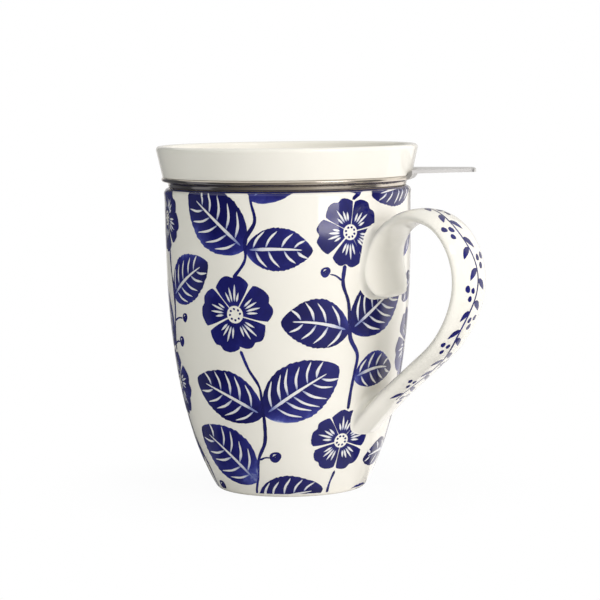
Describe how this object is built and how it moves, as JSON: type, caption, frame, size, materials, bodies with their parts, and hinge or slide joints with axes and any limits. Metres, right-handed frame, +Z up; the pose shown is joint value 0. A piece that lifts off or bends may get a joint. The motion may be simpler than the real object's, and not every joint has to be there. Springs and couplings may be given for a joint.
{
  "type": "lidded tea mug with infuser",
  "caption": "Tall glazed mug with a flat curled handle, a lift-out steel infuser basket hung from its lip by a tabbed rim, and a loose dish-shaped lid.",
  "frame": {"origin": "on the mug's axis, in the plane of its foot ring", "axes": "+Z up along the mug's axis, +X through the middle of the handle"},
  "size_m": [0.125, 0.0921, 0.1193],
  "materials": {
    "porcelain": "gloss glaze, warm white with cobalt blue underglaze decoration",
    "steel": "satin stainless steel"
  },
  "bodies": {
    "mug": {"mug": "porcelain"},
    "infuser": {"infuser_rim": "steel", "infuser_tab": "steel", "basket_sleeve": "steel", "basket_floor": "steel", "basket_hoop": "steel"},
    "lid": {"lid": "porcelain"}
  },
  "joints": [
    {"name": "infuser_lift", "type": "slide", "parent": "mug", "child": "infuser", "axis": [0, 0, 1], "range_m": [0, 0.075]},
    {"name": "lid_lift", "type": "slide", "parent": "infuser", "child": "lid", "axis": [0, 0, 1], "range_m": [0, 0.04]}
  ]
}
